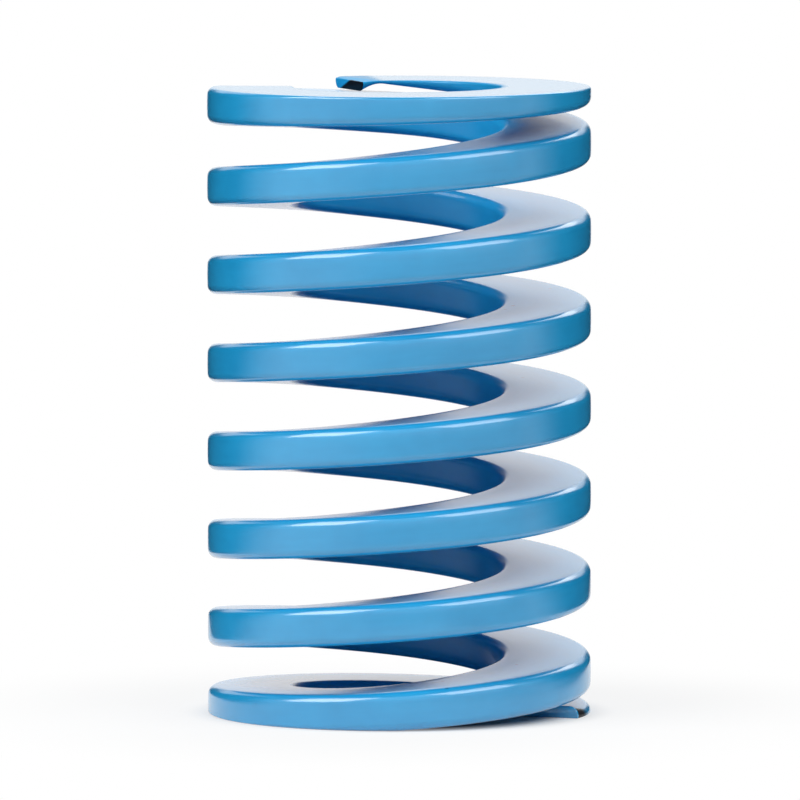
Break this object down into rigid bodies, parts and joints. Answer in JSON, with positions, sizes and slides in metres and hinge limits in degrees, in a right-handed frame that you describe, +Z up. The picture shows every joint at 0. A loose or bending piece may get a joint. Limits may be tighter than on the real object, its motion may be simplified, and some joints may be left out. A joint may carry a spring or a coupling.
{
  "type": "die spring",
  "caption": "Heavy compression spring coiled from rectangular wire with closed and ground ends, pushing tool plates apart over a guide rod or in a pocket.",
  "frame": {"origin": "centre of the lower ground end, on the coil's axis", "axes": "+Z up along the coil's axis, from the lower ground end to the upper one; -Y faces the viewer"},
  "size_m": [0.0312, 0.0312, 0.051],
  "materials": {
    "blue_lacquer": "gloss"
  },
  "bodies": {
    "root": {"die_spring": "blue_lacquer"}
  },
  "joints": []
}
